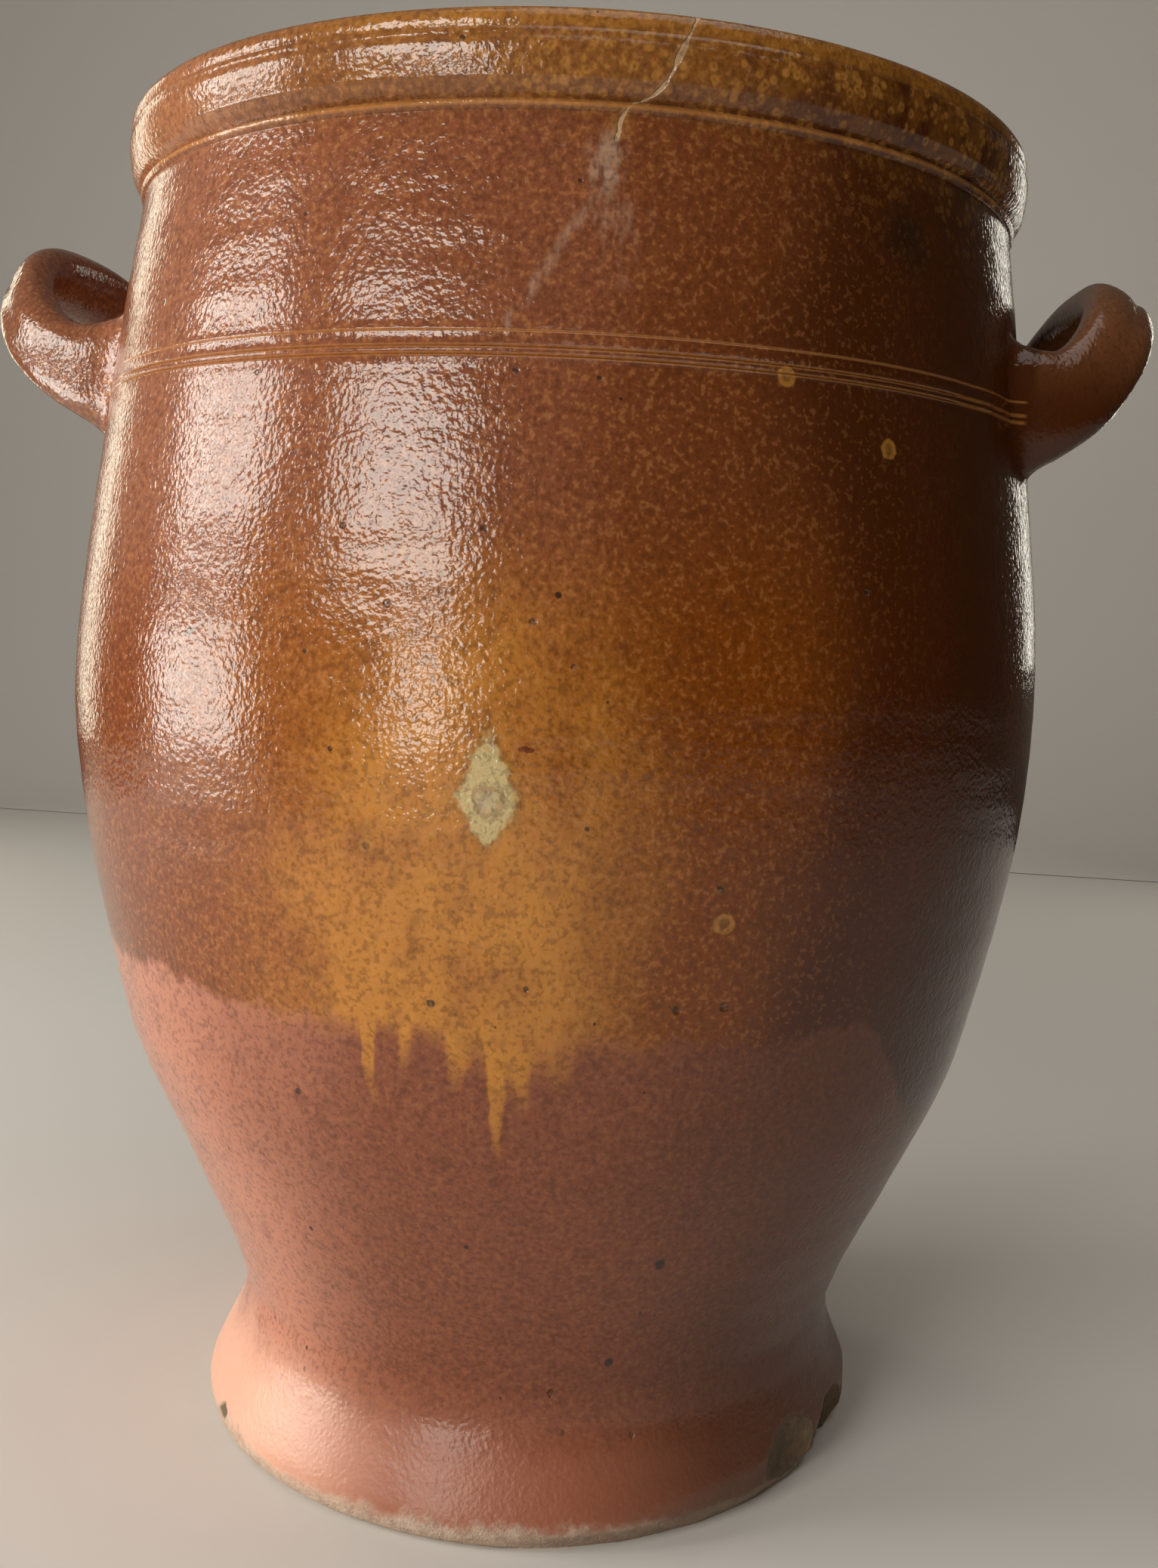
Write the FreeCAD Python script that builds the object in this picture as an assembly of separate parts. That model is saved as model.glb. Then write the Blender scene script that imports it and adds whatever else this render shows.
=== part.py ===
import FreeCAD, Part
import math
import os

# A salt-glazed stoneware pot for keeping meat and fat: one fired piece.
# The body is thrown on a wheel, so its wall, foot and rim are one turned outline.
# Two strap handles are pressed on below the rim while the clay is soft.
# Millimetres, +Z up, origin at the middle of the flat underside, -Y the front.

V = FreeCAD.Vector
UP = V(0, 0, 1)

# Foot and flank: heights from the floor that the pot stands on
height = 560.0
foot_height = 10.0
foot_top_height = 32.0
waist_height = 60.0
flare_height = 84.0
flank_low_height = 125.0
flank_high_height = 190.0
belly_height = 320.0

# Outer radii at those heights
base_radius = 149.0
foot_radius = 154.0
foot_top_radius = 145.4
waist_radius = 138.8
flare_radius = 147.0
flank_low_radius = 165.3
flank_high_radius = 191.8
belly_radius = 212.5
foot_edge_swell = 1.2

# Shoulder, neck and rim: drops are measured down from the rim's top
shoulder_drop = 112.0
shoulder_radius = 199.4
neck_radius = 186.4
rim_height = 28.0
rim_overhang = 6.0
rim_width = 21.0
rim_face_swell = 1.2
rim_top_round = 4.0
rim_edge_round = 1.5
rim_top_fall = 1.5
ledge_height = 2.6
ledge_depth = 0.9

# The clay's thickness
wall = 11.5
floor_thickness = 20.0
floor_corner = 32.0

# Lines scored round the shoulder and under the rim's top edge
groove_drop = 108.5
groove_pitch = 2.5
groove_width = 1.3
groove_depth = 0.7
rim_line_drop = 8.0
rim_line_width = 1.0
rim_line_depth = 0.4

# Strap handles, each a loop with both ends on the body at one level
handle_set_back = 6.9
handle_spread = 78.0
strap_width = 31.0
strap_thickness = 18.0
loop_squareness = 2.73
rise_lag = 2.55
right_root_drop = 101.0
right_reach = 50.6
right_rise = 48.0
right_tilt = 59.5
left_root_drop = 96.0
left_reach = 74.5
left_rise = 52.0
left_tilt = 37.5

# The handle's ends spread where the clay is smeared onto the body
root_spread_up = 8.0
root_spread_down = 22.0
root_spread_side = 10.0
root_length = 13.0
root_sink = 8.0

# The foot is worn away on its right: a cone and a band with their axis set back are left
wear_turn = -15.0
wear_set_back = 10.1
wear_base_out = 4.6
wear_band_out = 6.0
wear_band_height = 34.0

# Breaks, each the bite of a ball: turn round the body, height, distance from the axis, ball
scoop_turn = -31.5
scoop_height = 17.0
scoop_reach = 144.6
scoop_ball = 44.0
flake_turn = -16.0
flake_height = 2.0
flake_reach = 139.5
flake_ball = 36.0
nick_turn = -144.0
nick_height = 14.0
nick_ball = 24.0
nick_depth = 2.0
handle_chip_ball = 24.0
handle_chip_depth = 0.9

# Outline of the strap's section as shares of its thickness and width.
# The outer face has two rolls with a shallow valley between them.
strap_outline = [
    (0.00, -0.50),
    (0.38, -0.41),
    (0.50, -0.24),
    (0.42, -0.08),
    (0.50, 0.14),
    (0.38, 0.40),
    (0.00, 0.50),
    (-0.38, 0.38),
    (-0.50, 0.00),
    (-0.38, -0.38),
]
# The plain oval that the outline becomes at the handle's ends
root_outline = [
    (0.00, -0.50),
    (0.30, -0.41),
    (0.46, -0.20),
    (0.50, 0.00),
    (0.46, 0.20),
    (0.30, 0.41),
    (0.00, 0.50),
    (-0.40, 0.32),
    (-0.50, 0.00),
    (-0.40, -0.32),
]
# Stations along half of a loop, closer together towards its end
half_loop_stations = 6
station_crowding = 1.6
inner_wall_points = 8
# How far a wall's template of arcs may lie from its drawn curve
template_fit = 0.4
half_turn = 180.0


def at(radius, z):
    return V(radius, 0, z)


def line(a, b):
    return Part.LineSegment(a, b).toShape()


def arc(a, b, swell):
    """An arc from a to b whose middle stands out to its right by swell."""
    chord = b - a
    side = V(chord.z, 0, -chord.x)
    side.normalize()
    return Part.Arc(a, (a + b) * 0.5 + side * swell, b).toShape()


def round_over(a, b, radius):
    """A quarter round from a to b."""
    return arc(a, b, radius * (1 - math.sqrt(0.5)))


def curve_through(points, start, end):
    curve = Part.BSplineCurve()
    curve.interpolate(Points=points, InitialTangent=start, FinalTangent=end)
    return curve


def template(curve):
    """The curve as a chain of tangent arcs, from its start to its end."""
    return [piece.toShape() for piece in curve.toBiArcs(template_fit)]


def turned(edges):
    face = Part.Face(Part.Wire(edges))
    return face.revolve(V(0, 0, 0), UP, 360)


# The rim stands out of the neck
rim_radius = neck_radius + rim_overhang

# The outer wall, from the waist to the neck
neck_height = height - rim_height
wall_points = [
    at(waist_radius, waist_height),
    at(flare_radius, flare_height),
    at(flank_low_radius, flank_low_height),
    at(flank_high_radius, flank_high_height),
    at(belly_radius, belly_height),
    at(shoulder_radius, height - shoulder_drop),
    at(neck_radius, neck_height - ledge_height),
]
neck_slope = wall_points[-1] - wall_points[-2]
waist_pull = UP * (flare_height - waist_height)
outer_wall = curve_through(wall_points, waist_pull, neck_slope)


def wall_radius(z):
    """Outer radius of the body at a height between waist and neck."""
    low = outer_wall.FirstParameter
    high = outer_wall.LastParameter
    for _ in range(40):
        middle = (low + high) / 2
        if outer_wall.value(middle).z < z:
            low = middle
        else:
            high = middle
    return outer_wall.value(low).x


def inner_wall():
    """The inside of the wall: the outer curve moved in by the wall."""
    first = outer_wall.FirstParameter
    last = outer_wall.LastParameter
    points = []
    for i in range(inner_wall_points + 1):
        u = first + (last - first) * i / inner_wall_points
        along = outer_wall.tangent(u)[0]
        inward = V(-along.z, 0, along.x)
        points.append(outer_wall.value(u) + inward * wall)
    return curve_through(points, waist_pull, neck_slope)


def body_blank():
    """The turned body with no inside yet."""
    base_edge = at(base_radius, 0)
    foot_edge = at(foot_radius, foot_height)
    foot_top = at(foot_top_radius, foot_top_height)
    waist = at(waist_radius, waist_height)
    foot = curve_through([foot_edge, foot_top, waist], UP * foot_top_height, waist_pull)
    neck_end = at(neck_radius, neck_height - ledge_height)
    ledge_edge = at(neck_radius + ledge_depth, neck_height - ledge_height / 2)
    rim_foot = at(neck_radius, neck_height)
    lip = rim_radius - rim_face_swell
    overhang = lip - neck_radius
    underside_end = at(lip - rim_edge_round, neck_height + overhang - rim_edge_round)
    face_low = at(lip, neck_height + overhang)
    face_high = at(lip, height - rim_top_round)
    top_outer = at(lip - rim_top_round, height)
    inner_radius = rim_radius - rim_width
    top_inner = at(inner_radius + rim_top_round, height - rim_top_fall)
    top_middle = at(0, height - rim_top_fall)
    edges = [
        line(at(0, 0), base_edge),
        arc(base_edge, foot_edge, foot_edge_swell),
    ]
    edges += template(foot)
    edges += [
        outer_wall.toShape(),
        line(neck_end, ledge_edge),
        line(ledge_edge, rim_foot),
        line(rim_foot, underside_end),
        round_over(underside_end, face_low, rim_edge_round),
        arc(face_low, face_high, rim_face_swell),
        round_over(face_high, top_outer, rim_top_round),
        line(top_outer, top_inner),
        line(top_inner, top_middle),
        line(top_middle, at(0, 0)),
    ]
    return turned(edges)


def cavity():
    """The space inside, run on above the rim."""
    inner = inner_wall()
    bottom = inner.value(inner.FirstParameter)
    neck = inner.value(inner.LastParameter)
    corner = min(floor_corner, bottom.z - floor_thickness)
    corner_low = at(bottom.x - corner, floor_thickness)
    corner_high = at(bottom.x, floor_thickness + corner)
    inner_radius = rim_radius - rim_width
    lip_low = at(inner_radius, height - rim_width)
    lip_high = at(inner_radius, height - rim_top_fall - rim_top_round)
    lip_end = at(inner_radius + rim_top_round, height - rim_top_fall)
    above = height + rim_height
    swell = curve_through([neck, lip_low], UP * rim_height, UP * rim_height)
    edges = [
        line(at(0, floor_thickness), corner_low),
        round_over(corner_low, corner_high, corner),
    ]
    if bottom.z > corner_high.z:
        edges.append(line(corner_high, bottom))
    edges += template(inner)
    edges += template(swell)
    edges += [
        line(lip_low, lip_high),
        round_over(lip_high, lip_end, -rim_top_round),
        line(lip_end, at(lip_end.x, above)),
        line(at(lip_end.x, above), at(0, above)),
        line(at(0, above), at(0, floor_thickness)),
    ]
    return turned(edges)


def scored_line(radius, z, width, depth):
    """A V-shaped line pressed into a turned surface."""
    outer_low = at(radius + depth, z - width)
    outer_high = at(radius + depth, z + width)
    tip = at(radius - depth, z)
    return turned([line(outer_low, tip), line(tip, outer_high), line(outer_high, outer_low)])


def strap_section(middle, out, up, thickness, width, spread):
    """Points round one station of the strap's path: its outline, an oval where it spreads."""
    points = []
    for strap_share, root_share in zip(strap_outline, root_outline):
        out_share = strap_share[0] * (1 - spread) + root_share[0] * spread
        up_share = strap_share[1] * (1 - spread) + root_share[1] * spread
        points.append(middle + out * (out_share * thickness) + up * (up_share * width))
    return points


def skin(sections, distances):
    """A closed solid through rings of points, capped flat at both ends."""
    ring_steps = list(range(len(strap_outline) + 1))
    rings = []
    for points in sections:
        ring = Part.BSplineCurve()
        ring.interpolate(Points=points, PeriodicFlag=True, Parameters=ring_steps)
        rings.append(ring)
    ring_poles = [ring.getPoles() for ring in rings]
    net = []
    for column in zip(*ring_poles):
        along = Part.BSplineCurve()
        along.interpolate(Points=list(column), Parameters=distances)
        net.append(along.getPoles())
    surface = Part.BSplineSurface()
    surface.buildFromPolesMultsKnots(
        list(zip(*net)), along.getMultiplicities(), ring.getMultiplicities(),
        along.getKnots(), ring.getKnots(), False, True, along.Degree, ring.Degree)
    faces = [surface.toShape()]
    for end in (distances[0], distances[-1]):
        faces.append(Part.Face(Part.Wire(surface.uIso(end).toShape())))
    shell = Part.makeShell(faces)
    shell.sewShape()
    return Part.makeSolid(shell)


def handle(turn, root_drop, reach, rise, tilt):
    """One strap loop, its ends spread and sunk into the wall."""
    angle = math.radians(turn)
    away = V(math.cos(angle), math.sin(angle), 0)
    across = V(-math.sin(angle), math.cos(angle), 0)
    root_height = height - root_drop
    root_out = math.sqrt(wall_radius(root_height) ** 2 - handle_spread ** 2)
    power = 2 / loop_squareness

    def path(phi):
        lift = math.sin(phi) ** power
        side = math.copysign(abs(math.cos(phi)) ** power, math.cos(phi))
        return away * (root_out + reach * lift) + across * (handle_spread * side) \
            + UP * (root_height + rise * lift ** rise_lag)

    def station(phi, sink):
        lift = math.sin(phi) ** power
        spread = math.exp(-reach * lift / root_length)
        side = math.copysign(1.0, math.cos(phi))
        wall_normal = away * root_out + across * (side * handle_spread)
        wall_normal.normalize()
        step = math.radians(1)
        along = path(min(phi + step, math.pi)) - path(max(phi - step, 0.0))
        along.normalize()
        along = along * (1 - spread) + wall_normal * (side * spread)
        along.normalize()
        lean = math.radians(tilt) * lift
        up = UP * math.cos(lean) - away * math.sin(lean)
        up = up - along * up.dot(along)
        up.normalize()
        out = up.cross(along)
        thickness = strap_thickness + root_spread_side * spread
        width = strap_width + (root_spread_up + root_spread_down) * spread
        middle = path(phi) + up * ((root_spread_up - root_spread_down) / 2 * spread)
        return strap_section(middle - wall_normal * sink, out, up, thickness, width, spread)

    turns = []
    for i in range(half_loop_stations + 1):
        turns.append(math.pi / 2 * (i / half_loop_stations) ** station_crowding)
    turns += [math.pi - phi for phi in reversed(turns[:-1])]
    sections = [station(0.0, root_sink)]
    distances = [0.0, root_sink]
    for i, phi in enumerate(turns):
        sections.append(station(phi, 0.0))
        if i > 0:
            distances.append(distances[-1] + (path(phi) - path(turns[i - 1])).Length)
    sections.append(station(math.pi, root_sink))
    distances.append(distances[-1] + root_sink)
    return skin(sections, distances)


def bite(turn, z, reach, ball):
    """A ball that breaks a shallow hollow, whose deepest point lies at reach from the axis."""
    angle = math.radians(turn)
    distance = reach + ball
    return Part.makeSphere(ball, V(distance * math.cos(angle), distance * math.sin(angle), z))


def worn_away():
    """What the wear has taken from one side of the foot."""
    angle = math.radians(wear_turn)
    middle = V(math.cos(angle), math.sin(angle), 0) * -wear_set_back
    band_radius = foot_radius + wear_band_out
    left = Part.makeCone(base_radius + wear_base_out, band_radius, foot_height, middle)
    left = left.fuse(Part.makeCylinder(band_radius, wear_band_height, middle + UP * foot_height))
    return Part.makeCylinder(foot_radius + wear_set_back, wear_band_height).cut(left)


def handle_chip():
    """The broken top of the right handle's loop."""
    angle = math.radians(handle_set_back)
    away = V(math.cos(angle), math.sin(angle), 0)
    root_height = height - right_root_drop
    root_out = math.sqrt(wall_radius(root_height) ** 2 - handle_spread ** 2)
    lean = math.radians(right_tilt)
    top = away * (root_out + right_reach) + UP * (root_height + right_rise)
    top = top + (away * math.cos(lean) + UP * math.sin(lean)) * (strap_thickness / 2)
    return Part.makeSphere(handle_chip_ball, top + UP * (handle_chip_ball - handle_chip_depth))


def pot():
    shape = body_blank()
    right = handle(handle_set_back, right_root_drop, right_reach, right_rise, right_tilt)
    left = handle(half_turn - handle_set_back, left_root_drop, left_reach, left_rise, left_tilt)
    shape = shape.fuse([right, left])
    groove_height = height - groove_drop
    for z in (groove_height, groove_height - groove_pitch):
        shape = shape.cut(scored_line(wall_radius(z), z, groove_width, groove_depth))
    line_height = height - rim_line_drop
    shape = shape.cut(scored_line(rim_radius, line_height, rim_line_width, rim_line_depth))
    shape = shape.cut(worn_away())
    shape = shape.cut(bite(scoop_turn, scoop_height, scoop_reach, scoop_ball))
    shape = shape.cut(bite(flake_turn, flake_height, flake_reach, flake_ball))
    shape = shape.cut(bite(nick_turn, nick_height, foot_radius - nick_depth, nick_ball))
    shape = shape.cut(handle_chip())
    return shape.cut(cavity())


os.makedirs("parts", exist_ok=True)
shape = pot()
print("solids", len(shape.Solids), "valid", shape.isValid())
print("volume in litres", round(shape.Volume / 1e6, 3))
shape.exportStep("parts/pot.step")
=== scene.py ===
# %% [markdown]
# This lesson finishes one large keeping pot of salt-glazed stoneware.
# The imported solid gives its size. Here the same pot gets the surface of the real one:
# soft handle roots, throwing rings, a broken foot and a glaze that the fire painted.

# %% Open the frame
import math

import bmesh
import bpy
from mathutils import Matrix, Vector, noise
from mathutils.geometry import interpolate_bezier


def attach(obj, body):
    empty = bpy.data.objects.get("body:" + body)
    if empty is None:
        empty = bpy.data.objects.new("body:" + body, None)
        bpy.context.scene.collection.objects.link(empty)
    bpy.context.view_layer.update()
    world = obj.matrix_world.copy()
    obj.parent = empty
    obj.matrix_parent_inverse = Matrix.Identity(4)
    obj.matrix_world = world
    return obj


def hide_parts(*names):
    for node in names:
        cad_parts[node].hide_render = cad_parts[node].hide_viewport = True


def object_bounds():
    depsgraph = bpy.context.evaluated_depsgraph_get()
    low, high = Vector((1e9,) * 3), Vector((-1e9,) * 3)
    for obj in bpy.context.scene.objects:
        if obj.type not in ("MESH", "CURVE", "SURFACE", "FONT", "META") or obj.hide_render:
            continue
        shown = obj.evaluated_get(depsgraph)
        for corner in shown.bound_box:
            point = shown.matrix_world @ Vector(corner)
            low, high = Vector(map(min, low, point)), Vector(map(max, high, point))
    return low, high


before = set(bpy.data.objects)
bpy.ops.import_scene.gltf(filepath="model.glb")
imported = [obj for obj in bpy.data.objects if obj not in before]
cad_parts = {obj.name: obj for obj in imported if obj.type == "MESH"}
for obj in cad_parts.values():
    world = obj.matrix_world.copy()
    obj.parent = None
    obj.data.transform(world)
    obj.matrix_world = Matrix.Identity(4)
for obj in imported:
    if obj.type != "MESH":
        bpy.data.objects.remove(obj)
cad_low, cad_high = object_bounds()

print("solid from", tuple(cad_low), "to", tuple(cad_high))

# %% [markdown]
# A thrown pot is one outline turned round an axis, so its sizes are radii at heights.
# They are written in millimetres, as on the maker's card, and used in metres.

# %% Sizes of the thrown body
MM = 0.001
height = (cad_high.z - cad_low.z) / MM
wall_knots = [(138.8, 60), (147.0, 84), (165.3, 125), (191.8, 190),
              (212.5, 320), (199.4, 448), (186.6, 528.6)]
foot_knots = [(149.0, 0), (152.6, 3.2), (154.0, 10), (151.0, 19.5), (145.4, 32), (140.6, 45), (138.8, 60)]
wall_thickness = 11.5
floor_thickness = 20.0
floor_corner = 32.0
neck_radius = 186.4
neck_height = height - 28.0
rim_radius = 192.4
rim_width = 21.0
groove_height = height - 108.5
turn_steps = 288


def smooth_line(knots, step):
    """Points about a step apart on a smooth line through the knots."""
    points = [Vector((r, 0, z)) for r, z in knots]
    distances = [0.0]
    for a, b in zip(points, points[1:]):
        distances.append(distances[-1] + (b - a).length)
    tangents = []
    for i in range(len(points)):
        low, high = max(i - 1, 0), min(i + 1, len(points) - 1)
        tangents.append((points[high] - points[low]) / (distances[high] - distances[low]))
    line = []
    for i in range(len(points) - 1):
        span = distances[i + 1] - distances[i]
        count = max(2, round(span / step) + 1)
        part = interpolate_bezier(points[i], points[i] + tangents[i] * span / 3,
                                  points[i + 1] - tangents[i + 1] * span / 3, points[i + 1], count)
        line += [(p.x, p.z) for p in part[:-1]]
    return line + [(points[-1].x, points[-1].z)]


# %% [markdown]
# The rim is a rolled collar with a soft top edge, a crisp lower edge and an underside
# that slopes back to a thin ledge on the neck. Lines were scored with a point while the
# pot turned: two on the shoulder and a fine one on the rim. They are small V-shaped
# dips in the outline, so they catch the light as the real ones do.

# %% The turned outline
def quarter(centre, radius, start, end, steps):
    """Points on an arc, angles in degrees from the outward direction."""
    points = []
    for i in range(steps + 1):
        a = math.radians(start + (end - start) * i / steps)
        points.append((centre[0] + radius * math.cos(a), centre[1] + radius * math.sin(a)))
    return points


def scored(line, z, width, depth):
    """Adds a scored line with a raised burr on both sides to an outline."""
    below = [p for p in line if p[1] < z - 1.6 * width]
    above = [p for p in line if p[1] > z + 1.6 * width]
    a, b = below[-1], above[0]
    out = []
    for share, lift in ((-1.5, 0.0), (-0.95, 0.3), (-0.5, 0.05), (0.0, -1.0), (0.5, 0.05), (0.95, 0.3), (1.5, 0.0)):
        zz = z + share * width
        r = a[0] + (b[0] - a[0]) * (zz - a[1]) / (b[1] - a[1])
        out.append((r + lift * depth, zz))
    return below + out + above


outer = smooth_line(foot_knots, 3.2)[:-1] + smooth_line(wall_knots, 4.0)
for z in (groove_height - 2.7, groove_height, groove_height + 5.2):
    outer = scored(outer, z, 0.75 if z < groove_height + 4 else 0.6, 0.75 if z < groove_height + 4 else 0.3)
ledge = [(188.0, neck_height - 2.6), (188.3, neck_height - 1.2), (187.4, neck_height - 0.2)]
underside = [(neck_radius, neck_height + 0.6), (188.4, neck_height + 2.2), (190.0, neck_height + 3.9)]
lip = rim_radius - 1.2
face = quarter((lip - 1.4, neck_height + 6.4), 1.4, -60, 0, 3)
face += [(lip + 0.55, neck_height + 9.4), (lip + 1.0, neck_height + 12.6), (lip + 1.2, neck_height + 15.4)]
face += [(lip + 1.15, neck_height + 17.2), (lip + 0.72, neck_height + 18.0), (lip + 0.86, neck_height + 18.8)]
face += [(lip + 0.6, neck_height + 20.2), (lip + 0.12, neck_height + 20.8), (lip + 0.34, neck_height + 21.5)]
face += quarter((lip - 4.3, height - 4.6), 4.6, 6, 90, 7)
inner_radius = rim_radius - rim_width
top = [(lip - 9, height - 0.2), (lip - 13, height - 0.8)]
top += quarter((inner_radius + 4, height - 5.2), 4.0, 90, 180, 5)
inside = [(inner_radius, height - 14), (inner_radius + 0.8, height - 21), (neck_radius - wall_thickness, height - 34)]
inner_wall = []
for r, z in smooth_line(wall_knots, 13.0)[::-1]:
    if z < height - 44:
        inner_wall.append((r - wall_thickness, z))
corner = quarter((inner_wall[-1][0] - floor_corner, floor_thickness + floor_corner), floor_corner, 0, -90, 7)
outline = outer + ledge + underside + face + top + inside + inner_wall + corner
outline = [(0.0, 0.0), (70.0, 0.0), (135.0, 0.0)] + outline + [(50.0, floor_thickness), (0.0, floor_thickness)]
print("outline points", len(outline))

# %% [markdown]
# The outline is spun once round the axis. A hand-thrown wall is never a true circle:
# slow swells, faint throwing rings and a slight drift of the axis are moved into the
# mesh with seeded noise, a few tenths of a millimetre each.

# %% Throw the body
def turned_body(name, points):
    bm = bmesh.new()
    verts = [bm.verts.new((0, r * MM, z * MM)) for r, z in points]
    edges = [bm.edges.new(pair) for pair in zip(verts, verts[1:])]
    bmesh.ops.spin(bm, geom=verts + edges, cent=(0, 0, 0), axis=(0, 0, 1), angle=math.tau,
                   steps=turn_steps, use_merge=True, use_duplicate=False)
    bmesh.ops.remove_doubles(bm, verts=bm.verts, dist=0.00002)
    bmesh.ops.recalc_face_normals(bm, faces=bm.faces)
    mesh = bpy.data.meshes.new(name)
    bm.to_mesh(mesh)
    bm.free()
    body = bpy.data.objects.new(name, mesh)
    bpy.context.scene.collection.objects.link(body)
    return body


drift_knots = ((0, 0.6), (60, 1.4), (130, 2.0), (220, 0.4), (330, -0.9), (450, -0.3), (560, 0.0))


def drift(z):
    """How far the axis wanders towards +X at a height, in millimetres."""
    for (z0, d0), (z1, d1) in zip(drift_knots, drift_knots[1:]):
        if z <= z1:
            share = (z - z0) / (z1 - z0)
            share = share * share * (3 - 2 * share)
            return d0 + (d1 - d0) * share
    return drift_knots[-1][1]


def hand_marks(point):
    """Millimetres by which the hand moved the clay in or out at a point in metres."""
    z = point.z / MM
    angle = math.atan2(point.y, point.x)
    around = Vector((math.cos(angle), math.sin(angle), 0))
    slow = noise.noise(around * 1.1 + Vector((0, 0, z * 0.004)))
    middle = noise.noise(around * 2.4 + Vector((7, 3, z * 0.020)))
    phase = 5 * noise.noise(around * 0.7 + Vector((0, 9, z * 0.006)))
    rings = math.sin(z * 0.31 + phase) * 0.6 + math.sin(z * 0.83 + 2 * phase) * 0.3
    strength = 0.35 + 0.65 * noise.noise(Vector((z * 0.013, 4, 1)) + around * 0.4)
    return -0.6 + 0.45 * slow + 0.55 * middle + 0.24 * rings * strength


body = turned_body("pot_body", outline)
for v in body.data.vertices:
    radius = math.hypot(v.co.x, v.co.y)
    if v.co.z > 0.0015 and radius > 0.06:
        move = hand_marks(v.co) * MM * min(1.0, v.co.z / 0.02)
        v.co.x += v.co.x / radius * move
        v.co.y += v.co.y / radius * move
    v.co.x += drift(v.co.z / MM) * MM
print("body triangles about", 2 * len(body.data.polygons))

# %% [markdown]
# Each handle is a strap, pulled from a lump of clay, bent into a loop and pressed on at
# both ends. Its path leaves the wall level, then rises towards the apex, where the
# strap leans back towards the pot. The path is a rounded square, seen from above.

# %% Sizes of the handles
handle_set_back = math.radians(6.9)
handle_spread = 78.0
strap_width = 31.0
strap_thickness = 18.0
loop_squareness = 2.73
rise_lag = 2.55
root_up, root_down, root_side, root_length = 8.0, 22.0, 11.0, 13.0
right_handle = dict(turn=handle_set_back, root=height - 101.0, reach=50.6, rise=48.0, tilt=59.5, seed=3.0)
left_handle = dict(turn=math.pi - handle_set_back, root=height - 96.0, reach=74.5, rise=52.0, tilt=37.5, seed=8.0)


def wall_radius(z):
    """Outer radius of the wall at a height, read from the outline."""
    for (r0, z0), (r1, z1) in zip(outer, outer[1:]):
        if z0 <= z < z1:
            return r0 + (r1 - r0) * (z - z0) / (z1 - z0)
    return neck_radius


# %% Pull the straps
ring_points = 32
loop_stations = 84
root_sink = 8.5


def strap_ring(t, width, thickness, plainness):
    """(out, up) of one point on the strap's outline, with a valley between two rolls."""
    c, s = math.cos(t), math.sin(t)
    up = math.copysign(abs(s) ** 0.82, s) * width / 2
    out = math.copysign(abs(c) ** 0.72, c) * thickness / 2
    if c > 0:
        valley = math.exp(-((up / width + 0.10) / 0.085) ** 2)
        out -= 1.5 * valley * (1 - plainness)
    return out, up


def strap(name, turn, root, reach, rise, tilt, seed):
    away = Vector((math.cos(turn), math.sin(turn), 0))
    across = Vector((-math.sin(turn), math.cos(turn), 0))
    up_axis = Vector((0, 0, 1))
    root_out = math.sqrt(wall_radius(root) ** 2 - handle_spread ** 2)
    power = 2 / loop_squareness

    def path(phi):
        lift = max(math.sin(phi), 0.0) ** power
        side = math.copysign(abs(math.cos(phi)) ** power, math.cos(phi))
        return (away * (root_out + reach * lift) + across * (handle_spread * side)
                + up_axis * (root + rise * lift ** rise_lag))

    def station(phi, sink):
        lift = max(math.sin(phi), 0.0) ** power
        spread = math.exp(-reach * lift / root_length)
        side = math.copysign(1.0, math.cos(phi))
        normal = (away * root_out + across * (side * handle_spread)).normalized()
        step = math.radians(1)
        along = (path(min(phi + step, math.pi)) - path(max(phi - step, 0.0))).normalized()
        along = (along * (1 - spread) + normal * (side * spread)).normalized()
        lean = math.radians(tilt) * lift
        up = up_axis * math.cos(lean) - away * math.sin(lean)
        up = (up - along * up.dot(along)).normalized()
        out = up.cross(along)
        width = strap_width + (root_up + root_down) * spread
        thickness = strap_thickness + root_side * spread
        middle = path(phi) + up * ((root_up - root_down) / 2 * spread) - normal * sink
        ring = []
        for i in range(ring_points):
            o, u = strap_ring(math.tau * i / ring_points, width, thickness, spread)
            point = middle + out * o + up * u
            wobble = noise.noise(point * 0.03 + Vector((seed, 0, 0)))
            ring.append((point + out * (0.7 * wobble)) * MM)
        return ring

    turns = [0.0]
    half = loop_stations // 2
    for i in range(1, half + 1):
        turns.append(math.pi / 2 * (i / half) ** 1.45)
    turns += [math.pi - phi for phi in reversed(turns[:-1])]
    rings = [station(0.0, root_sink)] + [station(phi, 0.0) for phi in turns]
    rings.append(station(math.pi, root_sink))

    bm = bmesh.new()
    place = bm.verts.layers.int.new("place")
    start = bmesh.ops.create_circle(bm, cap_ends=False, radius=0.01, segments=ring_points)["verts"]
    for i, v in enumerate(start):
        v[place] = i
        v.co = rings[0][i]
    edges = list(bm.edges)
    for ring in rings[1:]:
        made = bmesh.ops.extrude_edge_only(bm, edges=edges)["geom"]
        ends = [item for item in made if isinstance(item, bmesh.types.BMVert)]
        for v in ends:
            v.co = ring[v[place]]
        edges = [item for item in made if isinstance(item, bmesh.types.BMEdge)]
    bmesh.ops.holes_fill(bm, edges=bm.edges, sides=0)
    bmesh.ops.recalc_face_normals(bm, faces=bm.faces)
    mesh = bpy.data.meshes.new(name)
    bm.to_mesh(mesh)
    bm.free()
    made = bpy.data.objects.new(name, mesh)
    bpy.context.scene.collection.objects.link(made)
    return made


straps = [strap("strap_right", **right_handle), strap("strap_left", **left_handle)]
for piece in straps:
    print(piece.name, "faces", len(piece.data.polygons))

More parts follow.
